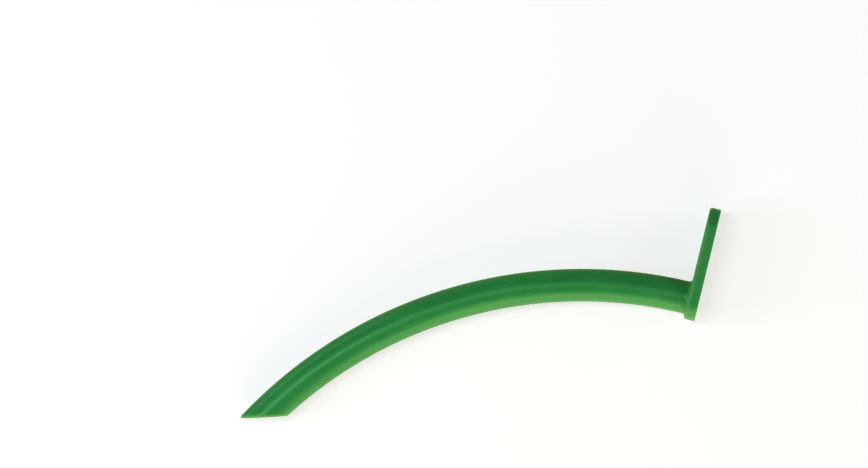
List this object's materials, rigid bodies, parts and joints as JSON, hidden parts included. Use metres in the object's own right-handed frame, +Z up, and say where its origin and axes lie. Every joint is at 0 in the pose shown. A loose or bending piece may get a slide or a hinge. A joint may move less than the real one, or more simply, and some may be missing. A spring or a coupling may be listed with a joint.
{
  "type": "nasopharyngeal airway",
  "caption": "Curved soft tube with a lumen right through it, a bevelled rounded tip and a flat tongue-shaped flange, lying on its side.",
  "frame": {"origin": "middle of the footprint on the surface the airway lies on, at rest on its side", "axes": "+X from the tip towards the flange's outer face, within 1.5 degrees of the lumen's axis there; +Y the way the flange's tongue points, to the outside of the bend; +Z up"},
  "size_m": [0.1196, 0.0904, 0.0126],
  "materials": {
    "vinyl": "soft translucent green vinyl with a satin gloss"
  },
  "bodies": {
    "root": {"airway": "vinyl"}
  },
  "joints": []
}
